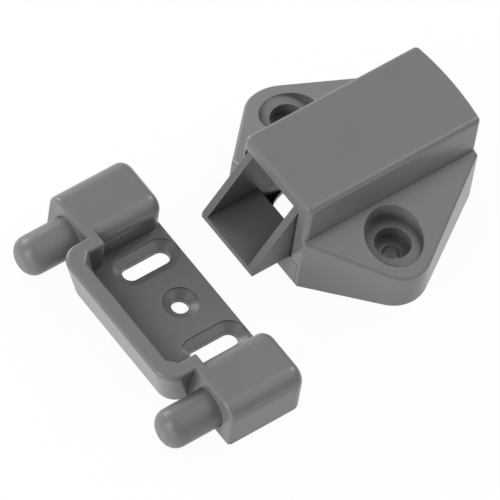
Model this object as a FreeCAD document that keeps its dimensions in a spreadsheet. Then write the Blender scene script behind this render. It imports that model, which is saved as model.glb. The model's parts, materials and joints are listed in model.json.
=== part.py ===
import FreeCAD, Part
import Sketcher
import math
import os
from FreeCAD import Vector

# Surface-mounted pushbutton lock with a scoop-shaped latch bolt, and its strike plate with two sprung
# plungers. Both stand on one mounting plane (z = 0). The origin is the centre of the push knob's bore on
# that plane, +X runs across the wings and +Y runs from the bolt's lip towards the rear of the case.

# Driving dimensions in millimetres
SIZES = {
    "running_fit": 0.1,
    "case_width": 24.8,
    "case_length": 48.7,
    "case_front": 14.0,
    "case_bow": 1.0,
    "case_height": 28.8,
    "case_roof": 3.6,
    "case_corner": 1.35,
    "case_brow": 1.25,
    "rear_wall": 2.0,
    "shell_wall": 1.4,
    "cheek_left": 1.1,
    "cheek_right": 3.3,
    "mouth_corner": 0.6,
    "wing_root": 16.7,
    "wing_tip": 10.1,
    "wing_front_left": 15.1,
    "wing_front_right": 12.6,
    "wing_rear": 13.4,
    "wing_reach": 30.1,
    "wing_reach_left": 31.0,
    "wing_nose": 8.6,
    "wing_nose_place": 6.15,
    "wing_nose_place_left": 5.8,
    "wing_edge": 0.7,
    "wing_wall": 2.4,
    "wing_inset": 3.6,
    "screw_span": 40.3,
    "screw_place": 6.15,
    "seat_bore": 7.0,
    "seat_level": 11.0,
    "tower_wall": 1.6,
    "head_bore": 4.35,
    "head_level": 7.0,
    "screw_bore": 2.15,
    "base_floor": 1.5,
    "sill_height": 7.0,
    "sill_depth": 1.6,
    "sill_overlap": 0.6,
    "rail_width": 1.0,
    "knob_rim": 1.1,
    "side_fit_left": 0.4,
    "side_fit_right": 0.5,
    "bolt_throw": 10.5,
    "bolt_wall": 1.9,
    "bolt_floor": 1.7,
    "bolt_lip": 1.8,
    "bolt_slope": 11.4,
    "bolt_crest": 1.5,
    "scoop_depth": 14.8,
    "bolt_length": 39.5,
    "ramp_run": 8.0,
    "ramp_width": 2.2,
    "ramp_top": 12.0,
    "spring_level": 16.0,
    "bolt_coil": 3.7,
    "bolt_wire": 0.4,
    "bolt_turns": 5.0,
    "coil_steps": 8.0,
    "peg_bore": 2.6,
    "peg_length": 2.5,
    "strike_x": 3.7,
    "strike_y": -40.4,
    "strike_height": 12.4,
    "strike_floor": 3.0,
    "strike_rear": 8.6,
    "housing_span": 55.0,
    "housing_half": 8.2,
    "housing_round": 4.0,
    "housing_wall": 1.9,
    "housing_rear_edge": 2.6,
    "flange_front": 12.0,
    "flange_depth": 2.4,
    "flange_inner_top": 19.5,
    "flange_inner_base": 17.3,
    "catch_base": 17.1,
    "catch_lean": 3.25,
    "catch_wall": 4.1,
    "catch_base_half": 20.0,
    "catch_flare": 1.1,
    "catch_corner": 4.6,
    "catch_inner_half": 17.4,
    "catch_inner_corner": 2.0,
    "catch_edge": 0.9,
    "hole_bore": 2.1,
    "hole_rim": 4.2,
    "rim_depth": 0.3,
    "cone_depth": 1.1,
    "slot_pitch": 26.4,
    "slot_travel": 8.4,
    "gate_slot": 2.0,
    "plunger_bore": 4.8,
    "plunger_level": 5.0,
    "plunger_throw": 13.4,
    "plunger_round": 2.3,
    "plunger_tail": 6.0,
    "plunger_hollow": 3.6,
    "plunger_nose_wall": 5.0,
    "collar_depth": 2.0,
    "plunger_coil": 3.0,
    "plunger_wire": 0.3,
    "plunger_turns": 5.0,
    "stud_bore": 2.1,
    "stud_length": 3.0,
}

doc = FreeCAD.newDocument("PushbuttonLock")
sheet = doc.addObject("Spreadsheet::Sheet", "Sizes")
for row, (alias, size) in enumerate(SIZES.items(), start=1):
    sheet.set(f"A{row}", alias)
    sheet.set(f"B{row}", str(size))
    sheet.setAlias(f"B{row}", alias)
doc.recompute()


def bound(text):
    """Expression with every size name pointing at its cell in the sheet."""
    words = text.replace("(", " ( ").replace(")", " ) ").split()
    return " ".join(f"Sizes.{word}" if word in SIZES else word for word in words)


def value(text):
    """Present value of an expression, used to draw a sketch close to its solution."""
    return float(doc.Sizes.evalExpression(text))


# Places that several pieces share, written with the sheet's names
CASE_HALF = "case_width / 2"
FRONT = "0 - case_front"
REAR = "case_length - case_front"
REAR_INNER = "case_length - case_front - rear_wall"
SHELL_HALF = "case_width / 2 - shell_wall"
CHEEK_LEFT = "cheek_left - case_width / 2"
CHEEK_RIGHT = "case_width / 2 - cheek_right"
KNOB_BORE = "case_width / 2 - shell_wall - running_fit - knob_rim"
ROOF_INNER = "case_height - case_roof"
BOLT_WIDTH = "case_width - cheek_left - cheek_right - side_fit_left - side_fit_right"
BOLT_CENTRE = "( cheek_left + side_fit_left - cheek_right - side_fit_right ) / 2"
BOLT_TOP = "case_height - case_roof - running_fit * 3"
LIP = "0 - case_front - bolt_throw"
BOLT_REAR = "bolt_length - case_front - bolt_throw"
WING_FALL = "( wing_root - wing_tip ) / ( wing_reach - case_width / 2 )"
WING_RIDGE = f"wing_root + case_width / 2 * {WING_FALL}"
NOSE_CENTRE = "wing_reach - wing_nose"
NOSE_CENTRE_LEFT = "wing_reach_left - wing_nose"
CAVITY_HALF = "housing_half - housing_wall"
ARCH_LEVEL = "strike_height - housing_half"
FLANGE_REAR = "flange_depth - flange_front"
HOUSING_INNER = "strike_rear - housing_wall"


def new_body(label):
    """Body of one piece, named as its part file."""
    body = doc.addObject("PartDesign::Body", label)
    body.Label = label
    return body


def place(body, x, y, z):
    """Bind a body's position to the sheet."""
    for axis, text in (("x", x), ("y", y), ("z", z)):
        body.setExpression(f"Placement.Base.{axis}", bound(text))


def origin_plane(body, role):
    """One of the body's own origin planes."""
    return next(item for item in body.Origin.OriginFeatures if item.Role == role)


def sketch_on(body, plane, name, offset="0"):
    """Sketch on one of the body's own origin planes, moved along the plane's normal."""
    sketch = body.newObject("Sketcher::SketchObject", name)
    sketch.AttachmentSupport = [(origin_plane(body, plane), "")]
    sketch.MapMode = "FlatFace"
    sketch.setExpression("AttachmentOffset.Base.z", bound(offset))
    return sketch


def hold(sketch, kind, geometry, point, text):
    """Hold one coordinate of a point of the sketch at a sheet expression."""
    index = sketch.addConstraint(Sketcher.Constraint(kind, -1, 1, geometry, point, value(text)))
    sketch.setExpression(f"Constraints[{index}]", bound(text))


def pin(sketch, geometry, point, x, y):
    """Hold a point of the sketch at a pair of sheet expressions."""
    hold(sketch, "DistanceX", geometry, point, x)
    hold(sketch, "DistanceY", geometry, point, y)


def radius(sketch, geometry, text):
    """Bind the radius of an arc or circle to the sheet."""
    index = sketch.addConstraint(Sketcher.Constraint("Radius", geometry, value(text)))
    sketch.setExpression(f"Constraints[{index}]", bound(text))


def bulged(start, end, size, turn):
    """Short arc from start to end; turn is +1 when it curves to the left and -1 to the right."""
    chord = end - start
    middle = (start + end) * 0.5
    side = Vector(-chord.y, chord.x, 0).normalize()
    reach = max(size * size - chord.Length * chord.Length / 4, 0) ** 0.5
    centre = middle + side * (reach * turn)
    crown = centre + (middle - centre).normalize() * size if reach > 1e-9 else middle - side * (size * turn)
    return Part.Arc(start, crown, end)


def outline(sketch, corners):
    """Closed outline. A corner is (x, y), or (x, y, radius, turn) where an arc leads to the next corner."""
    spots = [Vector(value(corner[0]), value(corner[1]), 0) for corner in corners]
    first = sketch.GeometryCount
    count = len(corners)
    for index, corner in enumerate(corners):
        start = spots[index]
        end = spots[(index + 1) % count]
        if len(corner) == 2:
            sketch.addGeometry(Part.LineSegment(start, end), False)
        else:
            sketch.addGeometry(bulged(start, end, value(corner[2]), corner[3]), False)
    # An arc drawn clockwise is stored counter-clockwise, so its ends swap
    ends = []
    for index, corner in enumerate(corners):
        swapped = len(corner) > 2 and corner[3] < 0
        ends.append((2, 1) if swapped else (1, 2))
    for index, corner in enumerate(corners):
        following = (index + 1) % count
        leaving = ends[index][1]
        arriving = ends[following][0]
        link = Sketcher.Constraint("Coincident", first + index, leaving, first + following, arriving)
        sketch.addConstraint(link)
        pin(sketch, first + index, ends[index][0], corner[0], corner[1])
        if len(corner) > 2:
            radius(sketch, first + index, corner[2])


def box_outline(sketch, left, right, front, rear):
    """Rectangle between four sheet expressions."""
    outline(sketch, [(left, front), (right, front), (right, rear), (left, rear)])


def circle(sketch, x, y, size):
    """Circle bound to the sheet."""
    centre = Vector(value(x), value(y), 0)
    index = sketch.addGeometry(Part.Circle(centre, Vector(0, 0, 1), value(size)), False)
    pin(sketch, index, 3, x, y)
    radius(sketch, index, size)


def set_length(feature, length, reverse):
    """Extent of a pad or pocket: a bound length, or through everything both ways."""
    if length:
        feature.setExpression("Length", bound(length))
        feature.Reversed = reverse
    else:
        feature.SideType = "Two sides"
        feature.Type = "ThroughAll"
        feature.Type2 = "ThroughAll"


def pad(body, sketch, name, length, reverse=False):
    """Pad along the sketch's normal, or against it."""
    feature = body.newObject("PartDesign::Pad", name)
    feature.Profile = sketch
    set_length(feature, length, reverse)
    return feature


def lean(feature, x, y, z):
    """Slant a pad or pocket along a direction bound to the sheet; its length stays upright."""
    feature.Reversed = False
    feature.UseCustomVector = True
    feature.AlongSketchNormal = True
    for axis, text in (("x", x), ("y", y), ("z", z)):
        feature.setExpression(f"Direction.{axis}", bound(text))
    doc.recompute()


def cut(body, sketch, name, length=None, along=True):
    """Pocket along the sketch's normal, or through everything; it has to remove material."""
    doc.recompute()
    before = body.Shape.Volume
    feature = body.newObject("PartDesign::Pocket", name)
    feature.Profile = sketch
    set_length(feature, length, along)
    doc.recompute()
    if body.Shape.Volume >= before:
        raise RuntimeError(f"{body.Label}.{name} removes nothing")
    return feature


def loft(body, kind, name, lower, upper):
    """Loft between two sketches."""
    feature = body.newObject(f"PartDesign::{kind}", name)
    feature.Profile = lower
    feature.Sections = [upper]
    feature.Ruled = True
    return feature


def mirror(body, name):
    """Whole shape mirrored about the body's own YZ plane."""
    feature = body.newObject("PartDesign::Mirrored", name)
    feature.TransformMode = "Whole shape"
    feature.MirrorPlane = (origin_plane(body, "YZ_Plane"), [""])
    body.Tip = feature
    doc.recompute()
    return feature


def dress(body, kind, name, size, wanted):
    """Fillet or chamfer on the edges that pass the test."""
    doc.recompute()
    base = body.Tip
    names = [f"Edge{index}" for index, edge in enumerate(base.Shape.Edges, start=1) if wanted(edge)]
    if not names:
        raise RuntimeError(f"{body.Label}.{name} finds no edge")
    feature = body.newObject(f"PartDesign::{kind}", name)
    feature.Base = (base, names)
    feature.setExpression("Radius" if kind == "Fillet" else "Size", bound(size))
    return feature


def near(first, second):
    """True for two lengths that agree to a hundredth of a millimetre."""
    return abs(first - second) < 0.01


def flat_at(edge, axis, text):
    """True for an edge that lies in the plane where the axis has the given value."""
    wanted = value(text)
    box = edge.BoundBox
    low = getattr(box, f"{axis}Min")
    high = getattr(box, f"{axis}Max")
    return near(low, wanted) and near(high, wanted)


def coil(label, turn_radius, wire, turns, length):
    """Six-sided wire wound in short straight steps about its own Y axis, from y = 0 to y = length."""
    reach = value(turn_radius)
    half_wire = value(wire)
    run = value(length) - 2 * half_wire
    steps = round(value(turns) * value("coil_steps"))
    spots = []
    for step in range(steps + 1):
        angle = 2 * math.pi * step / value("coil_steps")
        spots.append(Vector(reach * math.cos(angle), half_wire + run * step / steps, reach * math.sin(angle)))
    path = doc.addObject("Part::Feature", f"{label}_path")
    path.Shape = Part.makePolygon(spots)
    section = doc.addObject("Part::RegularPolygon", f"{label}_section")
    section.setExpression("Circumradius", bound(wire))
    section.Placement = FreeCAD.Placement(spots[0], FreeCAD.Rotation(Vector(0, 0, 1), spots[1] - spots[0]))
    winding = doc.addObject("Part::Sweep", label)
    winding.Label = label
    winding.Sections = [section]
    winding.Spine = (path, [f"Edge{index}" for index in range(1, steps + 1)])
    winding.Solid = True
    winding.Transition = "Right corner"
    return winding


# Lock case: a moulded box with a bowed rear wall, two sloping screw wings and an open front
def build_case():
    body = new_body("lock_case")

    wing = sketch_on(body, "XY_Plane", "WingPlan")
    draw_wings(wing)
    pad(body, wing, "Wings", WING_RIDGE)
    for side, word in ((1, "Right"), (-1, "Left")):
        hollow_wing(body, f"WingCore{word}", side)

    tower = sketch_on(body, "XY_Plane", "TowerPlan")
    screw_circles(tower, "seat_bore + tower_wall")
    pad(body, tower, "ScrewTowers", WING_RIDGE)
    fall = sketch_on(body, "XZ_Plane", "WingFall")
    foot = f"{WING_RIDGE} - wing_reach * 2 * {WING_FALL}"
    outline(fall, [
        ("0 - wing_reach * 2", foot),
        ("0", WING_RIDGE),
        ("wing_reach * 2", foot),
        ("wing_reach * 2", "case_height * 2"),
        ("0 - wing_reach * 2", "case_height * 2"),
    ])
    cut(body, fall, "WingSlopes")

    seat = sketch_on(body, "XY_Plane", "SeatPlan", "seat_level")
    screw_circles(seat, "seat_bore")
    cut(body, seat, "ScrewSeats", "wing_root - seat_level", True)
    head = sketch_on(body, "XY_Plane", "HeadPlan", "head_level")
    screw_circles(head, "head_bore")
    cut(body, head, "HeadBores", "wing_root - head_level", True)
    hole = sketch_on(body, "XY_Plane", "ScrewPlan")
    screw_circles(hole, "screw_bore")
    cut(body, hole, "ScrewHoles")
    dress(body, "Fillet", "WingBrow", "wing_edge", wing_top_edge)

    plan = sketch_on(body, "XY_Plane", "BoxPlan")
    draw_box_plan(plan)
    pad(body, plan, "Box", "case_height")
    dress(body, "Fillet", "BoxBrow", "case_brow", lambda edge: flat_at(edge, "Z", "case_height"))

    recess = sketch_on(body, "XY_Plane", "RecessPlan")
    box_outline(recess, f"0 - ( {SHELL_HALF} )", SHELL_HALF, f"{FRONT} - case_corner", REAR_INNER)
    cut(body, recess, "BaseRecess", "sill_height", True)
    notch = sketch_on(body, "XY_Plane", "NotchPlan")
    notch_half = f"{SHELL_HALF} + sill_overlap + running_fit"
    box_outline(notch, f"0 - ( {notch_half} )", notch_half, f"{FRONT} - case_corner", f"{FRONT} + sill_depth")
    cut(body, notch, "SillNotch", "sill_height", True)
    channel = sketch_on(body, "XY_Plane", "ChannelPlan")
    box_outline(channel, CHEEK_LEFT, CHEEK_RIGHT, f"{FRONT} - case_corner", REAR_INNER)
    cut(body, channel, "BoltChannel", ROOF_INNER, True)
    dress(body, "Fillet", "MouthCorners", "mouth_corner", mouth_top_corner)

    peg = sketch_on(body, "XZ_Plane", "PegPlan", f"0 - ( {REAR_INNER} )")
    circle(peg, BOLT_CENTRE, "spring_level", "peg_bore")
    pad(body, peg, "SpringPeg", "peg_length")
    return body


def hollow_wing(body, name, side):
    """Hollow under one wing: a wedge that narrows in plan and height towards the nose."""
    doc.recompute()
    before = body.Shape.Volume
    core = body.newObject("PartDesign::SubtractiveWedge", name)
    core.AttachmentSupport = [(origin_plane(body, "YZ_Plane"), "")]
    core.MapMode = "FlatFace"
    core.AttachmentOffset = FreeCAD.Placement(Vector(), FreeCAD.Rotation(Vector(1, 0, 0), 90 * side))
    root_level = f"wing_root - wing_wall - ( wing_wall - shell_wall ) * {WING_FALL}"
    end_level = f"wing_tip - wing_wall + wing_nose * {WING_FALL}"
    sizes = {
        "Xmin": f"{FRONT} + wing_inset",
        "Xmax": f"{REAR} - wing_inset",
        "X2min": "wing_nose_place - wing_nose",
        "X2max": "wing_nose_place + wing_nose",
        "Ymin": "case_width / 2 + wing_wall - shell_wall",
        "Ymax": NOSE_CENTRE,
        "Zmin": f"0 - ( {root_level} )" if side > 0 else "0",
        "Zmax": "0" if side > 0 else root_level,
        "Z2min": f"0 - ( {end_level} )" if side > 0 else "0",
        "Z2max": "0" if side > 0 else end_level,
    }
    for key, text in sizes.items():
        core.setExpression(key, bound(text))
    doc.recompute()
    if body.Shape.Volume >= before:
        raise RuntimeError(f"{name} removes nothing")


def screw_circles(sketch, size):
    """One circle about each wing's screw."""
    circle(sketch, "screw_span / 2", "screw_place", size)
    circle(sketch, "0 - screw_span / 2", "screw_place", size)


def draw_wings(sketch):
    """Plan of both wings: on each side two straight walls run tangent to a round nose."""
    size = value("wing_nose")

    def touch(centre, corner, turn):
        """Point of the nose where the wall from the corner touches it."""
        away = corner - centre
        lean = math.acos(size / away.Length) * turn
        unit = away.normalize() * size
        cosine = math.cos(lean)
        sine = math.sin(lean)
        return centre + Vector(unit.x * cosine - unit.y * sine, unit.x * sine + unit.y * cosine, 0)

    right = Vector(value(NOSE_CENTRE), value("wing_nose_place"), 0)
    left = Vector(0 - value(NOSE_CENTRE_LEFT), value("wing_nose_place_left"), 0)
    front_left = Vector(0 - value("wing_front_left"), value(FRONT), 0)
    front_right = Vector(value("wing_front_right"), value(FRONT), 0)
    rear_right = Vector(value("wing_rear"), value(REAR), 0)
    rear_left = Vector(0 - value("wing_rear"), value(REAR), 0)
    right_start = touch(right, front_right, 1)
    right_end = touch(right, rear_right, -1)
    left_start = touch(left, rear_left, 1)
    left_end = touch(left, front_left, -1)
    pieces = [
        Part.LineSegment(front_left, front_right),
        Part.LineSegment(front_right, right_start),
        Part.Arc(right_start, right + Vector(size, 0, 0), right_end),
        Part.LineSegment(right_end, rear_right),
        Part.LineSegment(rear_right, rear_left),
        Part.LineSegment(rear_left, left_start),
        Part.Arc(left_start, left - Vector(size, 0, 0), left_end),
        Part.LineSegment(left_end, front_left),
    ]
    for piece in pieces:
        sketch.addGeometry(piece, False)
    for index in range(len(pieces)):
        following = (index + 1) % len(pieces)
        kind = "Tangent" if 2 in (index, following) or 6 in (index, following) else "Coincident"
        sketch.addConstraint(Sketcher.Constraint(kind, index, 2, following, 1))
    pin(sketch, 0, 1, "0 - wing_front_left", FRONT)
    pin(sketch, 0, 2, "wing_front_right", FRONT)
    pin(sketch, 4, 1, "wing_rear", REAR)
    pin(sketch, 4, 2, "0 - wing_rear", REAR)
    pin(sketch, 2, 3, NOSE_CENTRE, "wing_nose_place")
    pin(sketch, 6, 3, f"0 - ( {NOSE_CENTRE_LEFT} )", "wing_nose_place_left")
    radius(sketch, 2, "wing_nose")
    radius(sketch, 6, "wing_nose")


def draw_box_plan(sketch):
    """Box plan: round corners, straight sides and a bowed rear, each tangent to the next."""
    half = value(CASE_HALF)
    front = value(FRONT)
    rear = value(REAR)
    corner = value("case_corner")
    bow = value("case_bow")
    slant = corner * 0.7

    def round_corner(x, y, side, end):
        """Corner arc about (x, y) towards the side and end signs, drawn counter-clockwise."""
        across = Vector(x + side * corner, y, 0)
        middle = Vector(x + side * slant, y + end * slant, 0)
        along = Vector(x, y + end * corner, 0)
        return Part.Arc(across, middle, along) if side * end > 0 else Part.Arc(along, middle, across)

    inner = half - corner
    bow_right = Vector(inner, rear, 0)
    bow_left = Vector(-inner, rear, 0)
    pieces = [
        Part.LineSegment(Vector(-inner, front, 0), Vector(inner, front, 0)),
        round_corner(inner, front + corner, 1, -1),
        Part.LineSegment(Vector(half, front + corner, 0), Vector(half, rear - corner, 0)),
        round_corner(inner, rear - corner, 1, 1),
        Part.Arc(bow_right, Vector(0, rear + bow, 0), bow_left),
        round_corner(-inner, rear - corner, -1, 1),
        Part.LineSegment(Vector(-half, rear - corner, 0), Vector(-half, front + corner, 0)),
        round_corner(-inner, front + corner, -1, -1),
    ]
    for piece in pieces:
        sketch.addGeometry(piece, False)
    for index in range(len(pieces)):
        following = (index + 1) % len(pieces)
        sketch.addConstraint(Sketcher.Constraint("Tangent", index, 2, following, 1))
    sketch.addConstraint(Sketcher.Constraint("Horizontal", 0))
    sketch.addConstraint(Sketcher.Constraint("Vertical", 2))
    sketch.addConstraint(Sketcher.Constraint("Vertical", 6))
    hold(sketch, "DistanceY", 0, 1, FRONT)
    hold(sketch, "DistanceX", 2, 1, CASE_HALF)
    hold(sketch, "DistanceX", 6, 1, f"0 - {CASE_HALF}")
    for index in (1, 3, 5, 7):
        radius(sketch, index, "case_corner")
    bow_radius = "( case_width * case_width / 4 + case_bow * case_bow ) / ( 2 * case_bow )"
    radius(sketch, 4, bow_radius)
    pin(sketch, 4, 3, "0", f"{REAR} + case_bow - {bow_radius}")


def wing_top_edge(edge):
    """Edge around a sloping wing top, without the ridge and the rims of the screw seats."""
    fall = value(WING_FALL)
    ridge = value(WING_RIDGE)
    middle = edge.valueAt((edge.FirstParameter + edge.LastParameter) / 2)
    spots = [vertex.Point for vertex in edge.Vertexes] + [middle]
    on_slope = all(near(spot.z, ridge - abs(spot.x) * fall) for spot in spots)
    from_screw = math.hypot(abs(middle.x) - value("screw_span / 2"), middle.y - value("screw_place"))
    return on_slope and abs(middle.x) > 0.1 and from_screw > value("seat_bore") + 0.1


def mouth_top_corner(edge):
    """Long edge under the roof, where it meets a side of the bolt's channel."""
    box = edge.BoundBox
    return flat_at(edge, "Z", ROOF_INNER) and box.YLength > box.XLength


# Base plate: closes the case from below, with the front sill, the side rails and the knob's bore
def build_base():
    body = new_body("base_plate")
    half = f"{SHELL_HALF} - running_fit"
    rear = f"{REAR_INNER} - running_fit"
    rail_top = "sill_height - running_fit"

    floor = sketch_on(body, "XY_Plane", "FloorPlan")
    box_outline(floor, f"0 - ( {half} )", half, FRONT, rear)
    pad(body, floor, "Floor", "base_floor")
    sill = sketch_on(body, "XY_Plane", "SillPlan")
    sill_half = f"{SHELL_HALF} + sill_overlap"
    box_outline(sill, f"0 - ( {sill_half} )", sill_half, FRONT, f"{FRONT} + sill_depth - running_fit")
    pad(body, sill, "Sill", rail_top)
    rail = sketch_on(body, "XY_Plane", "RailPlan")
    box_outline(rail, f"{half} - rail_width", half, f"{FRONT} + sill_depth / 2", rear)
    pad(body, rail, "Rail", rail_top)
    mirror(body, "BothRails")

    guides = sketch_on(body, "XY_Plane", "GuidePlan")
    left = f"{CHEEK_LEFT} + side_fit_left"
    right = f"{CHEEK_RIGHT} - side_fit_right"
    box_outline(guides, left, f"{left} + bolt_wall", f"{KNOB_BORE} + bolt_wall", rear)
    box_outline(guides, f"{right} - bolt_wall", right, f"{KNOB_BORE} + bolt_wall", rear)
    pad(body, guides, "RearGuides", rail_top)
    bore = sketch_on(body, "XY_Plane", "BorePlan")
    circle(bore, "0", "0", KNOB_BORE)
    cut(body, bore, "KnobBore")
    return body


# Latch bolt: an open scoop with sloping cheeks, carried by a frame that runs back to its spring
def build_bolt():
    body = new_body("latch_bolt")
    half = f"( {BOLT_WIDTH} ) / 2"
    inner = f"{half} - bolt_wall"
    inner_rear = f"{BOLT_REAR} - bolt_wall"

    side = sketch_on(body, "YZ_Plane", "SideView", f"0 - {half}")
    outline(side, [
        (LIP, "sill_height"),
        (BOLT_REAR, "sill_height"),
        (BOLT_REAR, BOLT_TOP),
        (f"{LIP} + bolt_slope", BOLT_TOP),
        (LIP, "sill_height + bolt_lip"),
    ])
    pad(body, side, "Block", BOLT_WIDTH)
    dress(body, "Fillet", "Crest", "bolt_crest", crest_edge)

    scoop = sketch_on(body, "XY_Plane", "ScoopPlan", "sill_height + bolt_floor")
    box_outline(scoop, f"0 - ( {inner} )", inner, f"{LIP} - bolt_wall", inner_rear)
    cut(body, scoop, "Scoop", "case_height", True)
    window = sketch_on(body, "XY_Plane", "WindowPlan")
    box_outline(window, f"0 - ( {inner} )", inner, f"{LIP} + scoop_depth", inner_rear)
    cut(body, window, "KnobWindow")

    ramp = sketch_on(body, "YZ_Plane", "RampView", f"{inner} - ramp_width")
    outline(ramp, [
        (inner_rear, "sill_height + bolt_floor"),
        (inner_rear, "sill_height + ramp_top"),
        (f"{inner_rear} - ramp_run", "sill_height + ramp_top"),
        (f"{inner_rear} - ramp_run", "sill_height + bolt_floor + ramp_run"),
    ])
    pad(body, ramp, "Ramp", "ramp_width + bolt_wall / 2")
    mirror(body, "BothRamps")

    peg = sketch_on(body, "XZ_Plane", "PegPlan", f"0 - ( {BOLT_REAR} )")
    circle(peg, "0", "spring_level", "peg_bore")
    pad(body, peg, "SpringPeg", "peg_length", True)
    place(body, BOLT_CENTRE, "0", "0")
    return body


def crest_edge(edge):
    """Edge across the bolt where the sloping cheek meets the flat top."""
    box = edge.BoundBox
    return near(box.ZMin, value(BOLT_TOP)) and box.XLength > 1 and box.YMax < 0 and box.YLength < 0.01


def build_bolt_spring():
    spring = coil("bolt_spring", "bolt_coil", "bolt_wire", "bolt_turns", f"{REAR_INNER} - ( {BOLT_REAR} )")
    place(spring, BOLT_CENTRE, BOLT_REAR, "spring_level")
    return spring


# Strike plate: a screwed tray with a leaning catch wall between two round-shouldered plunger housings
def build_strike():
    body = new_body("strike_plate")
    centre = "housing_span / 2"

    arch = sketch_on(body, "XZ_Plane", "ArchView", "0 - strike_rear")
    draw_vault(arch, centre, "housing_half", "strike_height", "housing_round", "0")
    pad(body, arch, "Housing", "strike_rear + flange_front")
    dress(body, "Fillet", "HousingRear", "housing_rear_edge", housing_rear_edge)

    flange = sketch_on(body, "XZ_Plane", "FlangeView", f"0 - ( {FLANGE_REAR} )")
    outline(flange, [
        ("flange_inner_base", "0"),
        (centre, "0"),
        (centre, "strike_height"),
        ("flange_inner_top", "strike_height"),
        ("flange_inner_base", "strike_floor"),
    ])
    pad(body, flange, "Flange", "flange_depth")

    floor = sketch_on(body, "XY_Plane", "FloorPlan")
    box_outline(floor, "0", f"{centre} - ( {CAVITY_HALF} )", "0 - flange_front", "strike_rear")
    pad(body, floor, "Floor", "strike_floor")

    block = sketch_on(body, "XY_Plane", "CatchPlan")
    block_rear = f"{FLANGE_REAR} + catch_lean"
    catch_outline(block, "catch_base_half", "0 - catch_base", ("catch_corner", 1), block_rear)
    block_pad = pad(body, block, "CatchBlock", "strike_height")
    lean(block_pad, "catch_flare", "0 - catch_lean", "strike_height")
    trim = sketch_on(body, "XY_Plane", "TrimPlan", "strike_floor")
    box_outline(trim, "0 - catch_flare", f"{centre} - housing_half", FLANGE_REAR, "strike_rear * 2")
    cut(body, trim, "CatchTrim", "strike_height", True)
    block_volume = body.Shape.Volume
    pocket = sketch_on(body, "XY_Plane", "PocketPlan", "strike_floor")
    pocket_front = "catch_wall - catch_base - strike_floor * catch_lean / strike_height"
    catch_outline(pocket, "catch_inner_half", pocket_front, ("catch_inner_corner",), "0")
    pocket_cut = cut(body, pocket, "CatchPocket", "strike_height", True)
    lean(pocket_cut, "0", "0 - catch_lean", "strike_height")
    if body.Shape.Volume >= block_volume:
        raise RuntimeError("the catch's pocket removes nothing")
    dress(body, "Fillet", "RimBrow", "catch_edge", rim_edge)

    cavity = sketch_on(body, "XZ_Plane", "CavityView", f"0 - ( {HOUSING_INNER} )")
    inner_round = "housing_round - housing_wall"
    draw_vault(cavity, centre, CAVITY_HALF, "strike_height - housing_wall", inner_round, "0 - housing_wall")
    cut(body, cavity, "PlungerCavity", f"{HOUSING_INNER} - ( {FLANGE_REAR} )", True)
    gate_start = f"0 - ( {FLANGE_REAR} ) - housing_wall / 2"
    gate = sketch_on(body, "XZ_Plane", "GateView", gate_start)
    circle(gate, centre, "plunger_level", "plunger_bore + running_fit")
    cut(body, gate, "PlungerGate", "flange_front + strike_rear", True)
    foot = sketch_on(body, "XZ_Plane", "GateFoot", gate_start)
    box_outline(foot, f"{centre} - gate_slot", f"{centre} + gate_slot", "0 - housing_wall", "plunger_level")
    cut(body, foot, "GateSlot", "flange_front + strike_rear", True)
    stud = sketch_on(body, "XZ_Plane", "StudView", f"0 - ( {HOUSING_INNER} )")
    circle(stud, centre, "plunger_level", "stud_bore")
    pad(body, stud, "SpringStud", "stud_length")

    slot = sketch_on(body, "XY_Plane", "SlotPlan")
    draw_slot(slot, "hole_bore")
    cut(body, slot, "Slot")
    rim = sketch_on(body, "XY_Plane", "SlotRim", "strike_floor - rim_depth")
    draw_slot(rim, "hole_rim")
    cut(body, rim, "SlotRecess", "rim_depth", True)
    cone_top = sketch_on(body, "XY_Plane", "ConeTop", "strike_floor - rim_depth")
    draw_slot(cone_top, "hole_rim")
    cone_foot = sketch_on(body, "XY_Plane", "ConeFoot", "strike_floor - rim_depth - cone_depth")
    draw_slot(cone_foot, "hole_bore")
    loft(body, "SubtractiveLoft", "SlotCone", cone_foot, cone_top)
    mirror(body, "BothSides")

    hole = sketch_on(body, "YZ_Plane", "HoleView")
    outline(hole, [
        ("0", "0 - strike_floor"),
        ("hole_bore", "0 - strike_floor"),
        ("hole_bore", "strike_floor - rim_depth - cone_depth"),
        ("hole_rim", "strike_floor - rim_depth"),
        ("hole_rim", "strike_floor * 2"),
        ("0", "strike_floor * 2"),
    ])
    centre_hole = body.newObject("PartDesign::Groove", "CentreHole")
    centre_hole.Profile = hole
    centre_hole.ReferenceAxis = (hole, ["V_Axis"])
    place(body, "strike_x", "strike_y", "0")
    return body


def draw_vault(sketch, centre, half, crown, rounding, foot):
    """Upright box section with a flat crown and round shoulders."""
    left = f"{centre} - ( {half} )"
    right = f"{centre} + ( {half} )"
    shoulder = f"{crown} - ( {rounding} )"
    outline(sketch, [
        (left, foot),
        (right, foot),
        (right, shoulder, rounding, 1),
        (f"{right} - ( {rounding} )", crown),
        (f"{left} + ( {rounding} )", crown, rounding, 1),
        (left, shoulder),
    ])


def draw_arch(sketch, centre, half, level, foot):
    """Flat-sided arch: straight legs from the foot, then a half round."""
    left = f"{centre} - ( {half} )"
    right = f"{centre} + ( {half} )"
    crown = f"{level} + ( {half} )"
    outline(sketch, [
        (left, foot),
        (right, foot),
        (right, level, half, 1),
        (centre, crown, half, 1),
        (left, level),
    ])


def catch_outline(sketch, half, front, corner, rear):
    """Half plan of the catch; its outer corner is (size, turn) for a round one and (size,) for a bevel."""
    size = corner[0]
    outline(sketch, [
        ("0 - catch_flare", front),
        (f"{half} - {size}", front, *(corner if len(corner) > 1 else ())),
        (half, f"{front} + {size}"),
        (half, rear),
        ("0 - catch_flare", rear),
    ])


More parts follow.
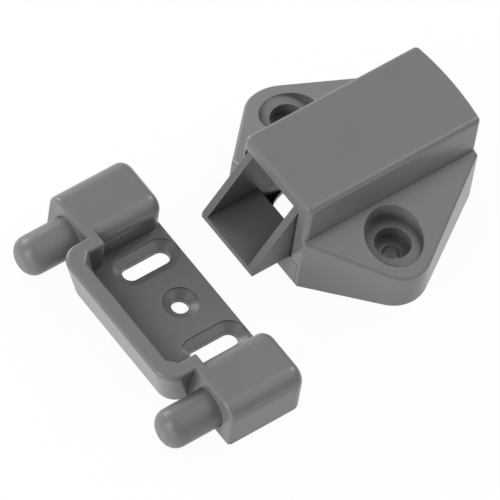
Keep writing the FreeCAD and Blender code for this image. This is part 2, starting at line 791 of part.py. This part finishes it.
def draw_slot(sketch, half):
    """Slot along Y with round ends, each drawn as two quarter arcs."""
    middle = "slot_pitch / 2"
    reach = "slot_travel / 2"
    outline(sketch, [
        (f"{middle} + {half}", f"0 - {reach}"),
        (f"{middle} + {half}", reach, half, 1),
        (middle, f"{reach} + {half}", half, 1),
        (f"{middle} - {half}", reach),
        (f"{middle} - {half}", f"0 - {reach}", half, 1),
        (middle, f"0 - {reach} - {half}", half, 1),
    ])


def rim_edge(edge):
    """Edge of the level rim along the catch and the flange, or of the housing's arch in front."""
    middle = edge.valueAt((edge.FirstParameter + edge.LastParameter) / 2)
    level = flat_at(edge, "Z", "strike_height") and middle.x > 0.01
    before_step = middle.y < value(FLANGE_REAR) - 0.01 and middle.x < value("housing_span / 2") - 0.01
    on_arch = flat_at(edge, "Y", "0 - flange_front") and edge.Curve.TypeId == "Part::GeomCircle"
    return level and before_step or on_arch


def housing_rear_edge(edge):
    """Outline of the housing's rear face, without its foot."""
    return flat_at(edge, "Y", "strike_rear") and edge.BoundBox.ZMax > 0.01


NOSE_BEVELS = 3


# Plunger: a round-nosed pin, hollow behind for its spring, with an arched collar that stops at the flange
def build_plunger(label, side):
    body = new_body(label)
    tip = "0 - flange_front - plunger_throw"
    tail = f"{FLANGE_REAR} + plunger_tail"

    half_view = sketch_on(body, "XY_Plane", "HalfView")
    outline(half_view, [
        ("0", tip),
        *nose_corners(tip),
        ("plunger_bore", tail),
        ("plunger_hollow", tail),
        ("plunger_hollow", f"{tip} + plunger_nose_wall"),
        ("0", f"{tip} + plunger_nose_wall"),
    ])
    pin_turn = body.newObject("PartDesign::Revolution", "Pin")
    pin_turn.Profile = half_view
    pin_turn.ReferenceAxis = (half_view, ["V_Axis"])

    collar_rear = f"{FLANGE_REAR} + running_fit * 2 + collar_depth"
    collar = sketch_on(body, "XZ_Plane", "CollarView", f"0 - ( {collar_rear} )")
    foot = "0 - plunger_bore"
    draw_arch(collar, "0", f"{CAVITY_HALF} - running_fit * 2", f"{ARCH_LEVEL} - plunger_level", foot)
    circle(collar, "0", "0", "plunger_hollow")
    pad(body, collar, "Collar", "collar_depth")
    place(body, f"strike_x + {side} * housing_span / 2", "strike_y", "plunger_level")
    return body


def nose_corners(tip):
    """Corners of the nose's rounding, which is turned in equal short bevels."""
    corners = []
    for step in range(NOSE_BEVELS + 1):
        angle = math.pi / 2 * step / NOSE_BEVELS
        across = f"plunger_bore - plunger_round * {1 - math.sin(angle):.6f}"
        along = f"{tip} + plunger_round * {1 - math.cos(angle):.6f}"
        corners.append((across, along))
    return corners


def build_plunger_spring(label, side):
    hollow_end = "plunger_nose_wall - flange_front - plunger_throw"
    room = f"{HOUSING_INNER} - ( {hollow_end} )"
    spring = coil(label, "plunger_coil", "plunger_wire", "plunger_turns", room)
    place(spring, f"strike_x + {side} * housing_span / 2", f"strike_y + {hollow_end}", "plunger_level")
    return spring


def check_document():
    """Stop when any object of the document failed to build."""
    for item in doc.Objects:
        if "Invalid" in item.State or "Error" in item.State:
            raise RuntimeError(f"{item.Name} ({item.Label}) did not build: {item.State}")


def write_parts(bodies):
    """Check each finished piece, then write them all."""
    for body in bodies:
        shape = body.Shape
        if shape.isNull() or not shape.isValid() or len(shape.Solids) != 1:
            raise RuntimeError(f"{body.Label} is not one sound solid")
    os.makedirs("parts", exist_ok=True)
    for body in bodies:
        body.Shape.exportStep(f"parts/{body.Label}.step")
        print(f"{body.Label}: {body.Shape.Volume:.1f} mm3")


BODIES = [
    build_case(),
    build_base(),
    build_bolt(),
    build_bolt_spring(),
    build_strike(),
    build_plunger("plunger_left", -1),
    build_plunger("plunger_right", 1),
    build_plunger_spring("plunger_spring_left", -1),
    build_plunger_spring("plunger_spring_right", 1),
]
doc.recompute()
check_document()
write_parts(BODIES)
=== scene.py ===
"""Pushbutton lock and its strike plate in satin grey plastic, laid out side by side on a pale floor."""

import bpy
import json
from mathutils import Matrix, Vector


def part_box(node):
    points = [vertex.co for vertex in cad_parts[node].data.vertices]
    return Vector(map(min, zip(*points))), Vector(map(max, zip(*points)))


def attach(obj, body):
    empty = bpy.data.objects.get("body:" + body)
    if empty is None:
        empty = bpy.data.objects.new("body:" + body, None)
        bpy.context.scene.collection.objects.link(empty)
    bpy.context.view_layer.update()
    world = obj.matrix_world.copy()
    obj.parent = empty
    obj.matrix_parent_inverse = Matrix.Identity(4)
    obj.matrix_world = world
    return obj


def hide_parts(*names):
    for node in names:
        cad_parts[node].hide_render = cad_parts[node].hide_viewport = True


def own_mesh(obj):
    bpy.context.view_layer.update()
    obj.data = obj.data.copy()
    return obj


bl_info = {
    "name": "Pushbutton Lock",
    "version": (1, 0, 0),
    "blender": (4, 5, 0),
    "location": "View3D > Sidebar > Lock",
    "description": "Finishes the lock case, the bolt, the strike plate, the plungers and the springs on their stage",
    "category": "Object",
}

import json
import math

import bmesh
import bpy
from bpy.props import FloatProperty, FloatVectorProperty, PointerProperty
from bpy.types import Operator, Panel, PropertyGroup
from mathutils import Matrix, Vector

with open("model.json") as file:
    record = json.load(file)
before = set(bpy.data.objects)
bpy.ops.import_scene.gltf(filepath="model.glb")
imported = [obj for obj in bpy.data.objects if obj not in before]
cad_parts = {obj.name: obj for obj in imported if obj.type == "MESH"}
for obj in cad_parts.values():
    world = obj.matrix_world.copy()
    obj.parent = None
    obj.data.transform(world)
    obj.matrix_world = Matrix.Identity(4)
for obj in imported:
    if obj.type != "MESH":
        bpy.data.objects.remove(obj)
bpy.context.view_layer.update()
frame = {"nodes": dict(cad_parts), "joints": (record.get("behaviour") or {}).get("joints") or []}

# Plungers: lengths in metres
PLUNGER_RADIUS = 0.0048
NOSE_ROUND = 0.0034
NOSE_RINGS = 9
CREASE = math.radians(35)

# Plastic: how much of each pattern goes into its tone, its roughness and its relief
# The edge share lightens the tone along every edge, a painted highlight
TONE_SHARES = {"cloud": 0.9, "grain": 0.3, "flow": 0.4, "edge": 0.5}
ROUGHNESS_SHARES = {"flow": 0.04, "grain": 0.03, "edge": -0.12}
RELIEF_SHARES = {"grain": 0.7, "flow": 0.3}
RELIEF_STRENGTH = 0.05
RELIEF_HEIGHT = 0.00002
EDGE_CONTRAST = 10
# Samples for the rounded edges, and for the painted shade in recesses
ROUNDING_SAMPLES = 6
PAINTED_SHADE_SAMPLES = 12

# Plastic: tones as parts of its own tone, with a painted highlight on edges and painted shade in recesses
DARK_SKIN, PALE_SKIN = 0.96, 1.04
PAINTED_HIGHLIGHT_TONE, PAINTED_HIGHLIGHT_SHARE = 1.5, 0.8
PAINTED_SHADE_TONE, PAINTED_SHADE_FALL = 0.3, 1.5

# Spring wire: width of its marks in metres, its tones, and their share in its roughness
WIRE_MARK = 0.0003
DARK_WIRE, PALE_WIRE = 0.85, 1.1
MARK_IN_ROUGHNESS = 0.2

# Floor: lengths in metres, its darkest tone and roughness, and the share of plain white that covers its shadows
FLOOR_HALF = 3.0
FLOOR_GAP = 0.0002
FLOOR_CLOUD = 0.2
FLOOR_SHADE = 0.99
FLOOR_ROUGHNESS = 0.9
FLOOR_WHITE = 0.95

# Soft lights: azimuth and elevation in degrees, width and height in metres
SOFT_LIGHTS = {
    "rear": (94, 44, 0.5, 1.0),
    "front": (268, 32, 0.5, 1.3),
    "left": (184, 22, 1.0, 0.7),
    "high": (44, 50, 0.7, 0.7),
    "low": (300, 6, 0.8, 0.2),
}
LIGHT_DISTANCE = 1.4
LIGHT_AIM = Vector((0, -0.015, 0.005))

# Camera: side of the square image in pixels, and how near and far it sees in metres
IMAGE_SIDE = 500
NEAREST, FARTHEST = 0.05, 20

# The Mix node's own numbers for its two colours and for the colour that it gives
MIX_FIRST, MIX_SECOND, MIX_RESULT = 6, 7, 2


def colour_setting(name, description, default):
    return FloatVectorProperty(
        name=name, description=description, subtype="COLOR", size=3, min=0, max=1, default=default,
    )


def roughness_setting(description, default):
    return FloatProperty(
        name="Roughness", description=description, subtype="FACTOR", min=0, max=1, default=default,
    )


def length_setting(name, description, least, most, default):
    return FloatProperty(
        name=name, description=description, subtype="DISTANCE", unit="LENGTH", min=least, max=most, default=default,
    )


def power_setting(name, description, default):
    return FloatProperty(
        name=name, description=description, subtype="POWER", unit="POWER", min=0, max=100, default=default,
    )


def angle_setting(name, description, degrees):
    return FloatProperty(
        name=name, description=description, subtype="ANGLE", unit="ROTATION", default=math.radians(degrees),
    )


class PlasticFinish(PropertyGroup):
    """Satin moulded plastic of the case, the bolt, the strike and the plungers."""

    tone: colour_setting("Tone", "Colour of the moulded plastic", (0.18, 0.18, 0.18))
    roughness: roughness_setting("Mean roughness of the satin skin", 0.3)
    edge: length_setting("Edge Radius", "Small radius that softens every moulded edge", 0, 0.002, 0.00035)
    grain: length_setting("Grain Size", "Width of the spark-eroded grain of the mould", 0.0001, 0.005, 0.0004)
    # Reach of the painted shade in corners and recesses
    painted_shade_reach: length_setting("Recess Depth", "Reach of the darker tone in corners and recesses", 0.0001, 0.02, 0.002)
    mottle: length_setting("Mottle Size", "Width of the soft cloudy patches in the tone", 0.001, 0.1, 0.014)


class SteelFinish(PropertyGroup):
    """Drawn wire of the springs."""

    tone: colour_setting("Tone", "Colour of the spring wire", (0.52, 0.52, 0.53))
    roughness: roughness_setting("Mean roughness of the drawn wire", 0.3)


class StudioSettings(PropertyGroup):
    """Lights, floor and camera of the stage."""

    rear: power_setting("Rear", "Power of the tall light behind the case", 8.8)
    front: power_setting("Front", "Power of the tall light in front of the strike", 11.5)
    left: power_setting("Left", "Power of the wide light on the left", 11.5)
    high: power_setting("High", "Power of the highest light, behind the right wing", 2)
    low: power_setting("Low", "Power of the light near the floor on the front right", 3.5)
    sky: FloatProperty(name="Sky", description="Strength of the surrounding light", min=0, max=4, default=0.18)
    floor: colour_setting("Floor", "Colour of the floor", (0.9, 0.9, 0.9))
    azimuth: angle_setting("Azimuth", "Direction of the camera about the upright axis", -43.94)
    elevation: angle_setting("Elevation", "Height of the camera above the floor", 55.03)
    roll: angle_setting("Roll", "Turn of the camera about its line of sight", 9.75)
    distance: length_setting("Distance", "Distance of the camera from its target", 0.1, 10, 1.8177)
    focal_length: FloatProperty(
        name="Focal Length", description="Focal length of the camera in pixels of the square image",
        min=500, max=20000, default=7999,
    )
    target: FloatVectorProperty(
        name="Target", description="Point on the floor that the camera looks at", subtype="XYZ", unit="LENGTH",
        size=3, default=(-0.00107, -0.01717, 0),
    )


class Signal:
    """A shader socket that takes part in sums with numbers and with other sockets."""

    def __init__(self, maker, socket):
        self.maker = maker
        self.socket = socket

    def combine(self, operation, first, second):
        return self.maker.signal("ShaderNodeMath", {"operation": operation}, {0: first, 1: second})

    def __add__(self, other):
        return self.combine("ADD", self, other)

    __radd__ = __add__

    def __sub__(self, other):
        return self.combine("SUBTRACT", self, other)

    def __rsub__(self, other):
        return self.combine("SUBTRACT", other, self)

    def __mul__(self, other):
        return self.combine("MULTIPLY", self, other)

    __rmul__ = __mul__

    def __pow__(self, other):
        return self.combine("POWER", self, other)

    def __rpow__(self, other):
        return self.combine("POWER", other, self)

    def clamped(self):
        return self.maker.signal("ShaderNodeClamp", {}, {"Value": self})


class MaterialMaker:
    """Builds one node material."""

    def __init__(self, name):
        self.material = bpy.data.materials.new(name)
        self.material.use_nodes = True
        self.tree = self.material.node_tree
        self.tree.nodes.clear()

    def node(self, kind, settings, sockets):
        """Add a node: its settings first, then the values or links of its sockets."""
        node = self.tree.nodes.new(kind)
        for name, setting in settings.items():
            setattr(node, name, setting)
        for name, given in sockets.items():
            if isinstance(given, Signal):
                self.tree.links.new(given.socket, node.inputs[name])
            else:
                node.inputs[name].default_value = given
        return node

    def signal(self, kind, settings, sockets, output=0):
        """Add a node and take one of its outputs."""
        return Signal(self, self.node(kind, settings, sockets).outputs[output])

    def noise(self, width, detail=2.0, roughness=0.5):
        """Cloudy value from 0 to 1 whose patches have the given width in metres."""
        place = self.signal("ShaderNodeTexCoord", {}, {}, "Object")
        sockets = {"Vector": place, "Scale": 1 / width, "Detail": detail, "Roughness": roughness}
        return self.signal("ShaderNodeTexNoise", {}, sockets)

    def tint(self, mask, first, second):
        """Colour between two colours or colour sockets by a mask."""
        ends = [end if isinstance(end, Signal) else (*end, 1) for end in (first, second)]
        sockets = {"Factor": mask, MIX_FIRST: ends[0], MIX_SECOND: ends[1]}
        return self.signal("ShaderNodeMix", {"data_type": "RGBA"}, sockets, MIX_RESULT)

    def finish(self, shader):
        """Send a shader to the material's output."""
        self.node("ShaderNodeOutputMaterial", {}, {"Surface": shader})
        return self.material


def scaled(colour, factor):
    """Colour with each channel multiplied by a factor."""
    return tuple(channel * factor for channel in colour)


def blended(patterns, shares):
    """Sum of the patterns that have a share, each times its share."""
    return sum(patterns[name] * share for name, share in shares.items())


def satin_plastic(name, shade=1.0, matt=0.0, shine=0.5, reach=1.0):
    """Moulded plastic: eroded grain, cloudy tone, painted shade in recesses, and softly rounded edges with a painted
    highlight.

    Shade multiplies its tone, matt adds to its roughness, shine is its specular level, and reach widens the painted
    shade in its recesses.
    """
    finish = bpy.context.scene.plastic_finish
    maker = MaterialMaker(name)
    tone = scaled(finish.tone, shade)

    rounded = maker.signal("ShaderNodeBevel", {"samples": ROUNDING_SAMPLES}, {"Radius": finish.edge})
    flat = maker.signal("ShaderNodeNewGeometry", {}, {}, "Normal")
    facing = maker.signal("ShaderNodeVectorMath", {"operation": "DOT_PRODUCT"}, {0: rounded, 1: flat}, "Value")
    edge = ((1 - facing) * EDGE_CONTRAST).clamped()
    patterns = {
        "edge": edge,
        "cloud": maker.noise(finish.mottle, detail=3) - 0.5,
        "flow": maker.noise(finish.mottle / 3) - 0.5,
        "grain": maker.noise(finish.grain) - 0.5,
    }

    # Painted shade: the tone darkens towards recesses, where the part's own surfaces close in
    openness = maker.signal("ShaderNodeAmbientOcclusion", {"samples": PAINTED_SHADE_SAMPLES, "only_local": True}, {
        "Distance": finish.painted_shade_reach * reach, "Normal": rounded,
    }, "AO")
    clear = (openness * 2 - 1).clamped()
    # Tone from the cloudy patterns, with a painted highlight from the edge share
    shading = (blended(patterns, TONE_SHARES) + 0.5).clamped()
    skin = maker.tint(shading, scaled(tone, DARK_SKIN), scaled(tone, PALE_SKIN))
    # Painted highlight: edges lighter than the skin, fading out in recesses
    painted_highlight = maker.tint(edge * clear * PAINTED_HIGHLIGHT_SHARE, skin, scaled(tone, PAINTED_HIGHLIGHT_TONE))
    colour = maker.tint(openness ** PAINTED_SHADE_FALL, scaled(tone, PAINTED_SHADE_TONE), painted_highlight)

    roughness = blended(patterns, ROUGHNESS_SHARES) + (finish.roughness + matt)
    bump = maker.signal("ShaderNodeBump", {}, {
        "Strength": RELIEF_STRENGTH, "Distance": RELIEF_HEIGHT, "Height": blended(patterns, RELIEF_SHARES),
        "Normal": rounded,
    })
    shader = maker.signal("ShaderNodeBsdfPrincipled", {}, {
        "Base Color": colour, "Roughness": roughness.clamped(), "Specular IOR Level": shine, "Normal": bump,
    })
    return maker.finish(shader)


def spring_steel(name):
    """Drawn wire with fine marks in its tone and its shine."""
    finish = bpy.context.scene.steel_finish
    maker = MaterialMaker(name)
    mark = maker.noise(WIRE_MARK, detail=4, roughness=0.7)
    colour = maker.tint(mark, scaled(finish.tone, DARK_WIRE), scaled(finish.tone, PALE_WIRE))
    roughness = (mark - 0.5) * MARK_IN_ROUGHNESS + finish.roughness
    shader = maker.signal("ShaderNodeBsdfPrincipled", {}, {
        "Base Color": colour, "Roughness": roughness.clamped(), "Metallic": 1.0,
    })
    return maker.finish(shader)


def add_object(name, data):
    """Object with the given data, linked to the scene."""
    added = bpy.data.objects.new(name, data)
    bpy.context.collection.objects.link(added)
    return added


def dress(node, material):
    """Give a node of the frame one material all over."""
    piece = frame["nodes"][node]
    piece.data.materials.clear()
    piece.data.materials.append(material)


def rounded_plunger(side, material):
    """Plunger in the place of its solid, with a finer and rounder nose."""
    name = f"plunger_{side}"
    node = frame["nodes"][name]
    low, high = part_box(name)
    middle, level = (low[0] + high[0]) / 2, low[2] + PLUNGER_RADIUS
    shape = bmesh.new()
    shape.from_mesh(node.data)

    # Rings along the nose, closer together towards its tip
    for step in range(1, NOSE_RINGS + 1):
        depth = NOSE_ROUND * (1 - math.cos(math.pi / 2 * step / NOSE_RINGS))
        everything = shape.verts[:] + shape.edges[:] + shape.faces[:]
        bmesh.ops.bisect_plane(shape, geom=everything, plane_co=(0, low[1] + depth, 0), plane_no=(0, 1, 0))

    # Each ring takes the radius of a quarter round at its depth
    for vertex in shape.verts:
        depth = vertex.co.y - low[1]
        across = Vector((vertex.co.x - middle, 0, vertex.co.z - level))
        if depth < NOSE_ROUND and across.length > 0:
            rise = math.sqrt(max(0, NOSE_ROUND ** 2 - (NOSE_ROUND - depth) ** 2))
            across *= (PLUNGER_RADIUS - NOSE_ROUND + rise) / across.length
            vertex.co = Vector((middle + across.x, vertex.co.y, level + across.z))

    mesh = bpy.data.meshes.new(f"{name}_pin")
    shape.to_mesh(mesh)
    shape.free()
    if "custom_normal" in mesh.attributes:
        mesh.attributes.remove(mesh.attributes["custom_normal"])
    mesh.shade_smooth()
    mesh.set_sharp_from_angle(angle=CREASE)
    mesh.materials.append(material)
    pin = add_object(f"{name}_pin", mesh)
    pin.matrix_world = node.matrix_world
    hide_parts(name)
    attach(pin, f"plunger_{side[0]}")


def coil_spring(name, joint):
    """Coil in the place of a CAD spring, with its rear end held by the set."""
    node = frame["nodes"][name]
    low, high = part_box(name)
    travel = next(entry["range_m"][1] for entry in frame["joints"] if entry["name"] == joint)
    coil = add_object(f"{name}_coil", node.data.copy())
    coil.matrix_world = node.matrix_world
    coil.data.materials.clear()
    coil.data.materials.append(spring_steel(f"{name}_steel"))
    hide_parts(name)
    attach(coil, "set")
    1 - travel / (high[1] - low[1])
    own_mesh(coil)


class LOCK_OT_case(Operator):
    """Finish the lock case and its base plate"""
    bl_idname = "lock.case"
    bl_label = "Lock Case"

    def execute(self, context):
        dress("lock_case", satin_plastic("case_plastic"))
        dress("base_plate", satin_plastic("base_plastic", shade=0.97))
        return {"FINISHED"}


class LOCK_OT_bolt(Operator):
    """Finish the latch bolt, darker and duller than the case"""
    bl_idname = "lock.bolt"
    bl_label = "Latch Bolt"

    def execute(self, context):
        # Painted shade reaches further into the bolt's scoop
        dress("latch_bolt", satin_plastic("bolt_plastic", shade=0.84, matt=0.1, shine=0.3, reach=3))
        return {"FINISHED"}


class LOCK_OT_strike(Operator):
    """Finish the strike plate, with painted shade reaching wide across its tray"""
    bl_idname = "lock.strike"
    bl_label = "Strike Plate"

    def execute(self, context):
        dress("strike_plate", satin_plastic("strike_plastic", reach=4))
        return {"FINISHED"}


class LOCK_OT_plungers(Operator):
    """Round and finish the two plungers"""
    bl_idname = "lock.plungers"
    bl_label = "Plungers"

    def execute(self, context):
        for side in ("left", "right"):
            rounded_plunger(side, satin_plastic(f"plunger_{side}_plastic", shade=0.92, matt=0.08))
        return {"FINISHED"}


class LOCK_OT_springs(Operator):
    """Coil the bolt spring and the plunger springs"""
    bl_idname = "lock.springs"
    bl_label = "Springs"

    def execute(self, context):
        coil_spring("bolt_spring", "bolt_slide")
        for side in ("left", "right"):
            coil_spring(f"plunger_spring_{side}", f"plunger_{side}_slide")
        return {"FINISHED"}


class LOCK_OT_stage(Operator):
    """Set up the floor, the lights and the camera"""
    bl_idname = "lock.stage"
    bl_label = "Stage"

    def execute(self, context):
        studio = context.scene.studio_settings
        make_floor(studio)
        make_lights(studio)
        make_camera(studio)
        context.scene.view_settings.view_transform = "Standard"
        return {"FINISHED"}


def make_floor(studio):
    """Wide pale floor that looks white to the camera and still takes the object's shadow."""
    mesh = bpy.data.meshes.new("floor")
    corners = [(x * FLOOR_HALF, y * FLOOR_HALF, 0) for x, y in ((-1, -1), (1, -1), (1, 1), (-1, 1))]
    mesh.from_pydata(corners, [], [(0, 1, 2, 3)])
    floor = add_object("floor", mesh)
    floor.location.z = -FLOOR_GAP

    maker = MaterialMaker("floor_paper")
    rays = maker.node("ShaderNodeLightPath", {}, {})
    direct, mirrored, passed = (
        Signal(maker, rays.outputs[f"Is {kind} Ray"]) for kind in ("Camera", "Glossy", "Transmission")
    )
    seen = (direct * FLOOR_WHITE + mirrored + passed).clamped()
    colour = maker.tint(maker.noise(FLOOR_CLOUD), scaled(studio.floor, FLOOR_SHADE), studio.floor)
    paper = maker.signal("ShaderNodeBsdfPrincipled", {}, {"Base Color": colour, "Roughness": FLOOR_ROUGHNESS})
    white = maker.signal("ShaderNodeEmission", {}, {"Color": (1, 1, 1, 1), "Strength": 1.0})
    shader = maker.signal("ShaderNodeMixShader", {}, {0: seen, 1: paper, 2: white})
    mesh.materials.append(maker.finish(shader))


def direction(azimuth, elevation):
    """Unit vector at an azimuth and an elevation in radians."""
    level = math.cos(elevation)
    return Vector((level * math.cos(azimuth), level * math.sin(azimuth), math.sin(elevation)))


def area_light(name, azimuth, elevation, width, height, power):
    """Upright rectangular soft light around the object, turned towards its middle."""
    data = bpy.data.lights.new(name, "AREA")
    data.shape = "RECTANGLE"
    data.size = width
    data.size_y = height
    data.energy = power
    light = add_object(name, data)
    away = direction(math.radians(azimuth), math.radians(elevation))
    light.location = LIGHT_AIM + away * LIGHT_DISTANCE
    light.rotation_euler = away.to_track_quat("Z", "Y").to_euler()


def make_lights(studio):
    """Soft lights around the object, low enough to leave its recesses dark, and an even surrounding light."""
    for side, place in SOFT_LIGHTS.items():
        area_light(f"{side}_light", *place, getattr(studio, side))
    world = bpy.data.worlds.new("studio_air")
    bpy.context.scene.world = world
    world.use_nodes = True
    background = world.node_tree.nodes["Background"]
    background.inputs["Color"].default_value = (1, 1, 1, 1)
    background.inputs["Strength"].default_value = studio.sky


def make_camera(studio):
    """Long-lens camera at the photograph's viewing angle."""
    back = direction(studio.azimuth, studio.elevation)
    right = Vector((-math.sin(studio.azimuth), math.cos(studio.azimuth), 0))
    up = back.cross(right)
    turned_right = right * math.cos(studio.roll) + up * math.sin(studio.roll)
    turned_up = up * math.cos(studio.roll) - right * math.sin(studio.roll)

    data = bpy.data.cameras.new("camera")
    data.sensor_fit = "HORIZONTAL"
    data.lens = studio.focal_length / IMAGE_SIDE * data.sensor_width
    data.clip_start = NEAREST
    data.clip_end = FARTHEST
    camera = add_object("camera", data)
    turn = Matrix((turned_right, turned_up, back)).transposed().to_4x4()
    camera.matrix_world = Matrix.Translation(Vector(studio.target) + back * studio.distance) @ turn
    bpy.context.scene.camera = camera


class LOCK_PT_panel(Panel):
    """Lists the finishing steps of the lock and its settings"""
    bl_idname = "LOCK_PT_panel"
    bl_label = "Pushbutton Lock"
    bl_space_type = "VIEW_3D"
    bl_region_type = "UI"
    bl_category = "Lock"

    def draw(self, context):
        for operator in OPERATORS:
            self.layout.operator(operator.bl_idname)
        for name in GROUPS:
            group = getattr(context.scene, name)
            box = self.layout.box()
            for key in type(group).__annotations__:
                box.prop(group, key)


OPERATORS = (LOCK_OT_case, LOCK_OT_bolt, LOCK_OT_strike, LOCK_OT_plungers, LOCK_OT_springs, LOCK_OT_stage)
GROUPS = {"plastic_finish": PlasticFinish, "steel_finish": SteelFinish, "studio_settings": StudioSettings}


def register():
    for item in (*GROUPS.values(), *OPERATORS, LOCK_PT_panel):
        bpy.utils.register_class(item)
    for name, group in GROUPS.items():
        setattr(bpy.types.Scene, name, PointerProperty(type=group))


def unregister():
    for name in GROUPS:
        delattr(bpy.types.Scene, name)
    for item in reversed((*GROUPS.values(), *OPERATORS, LOCK_PT_panel)):
        bpy.utils.unregister_class(item)


def main():
    register()
    bpy.ops.lock.case()
    bpy.ops.lock.bolt()
    bpy.ops.lock.strike()
    bpy.ops.lock.plungers()
    bpy.ops.lock.springs()
    bpy.ops.lock.stage()


if __name__ == "__main__":
    main()
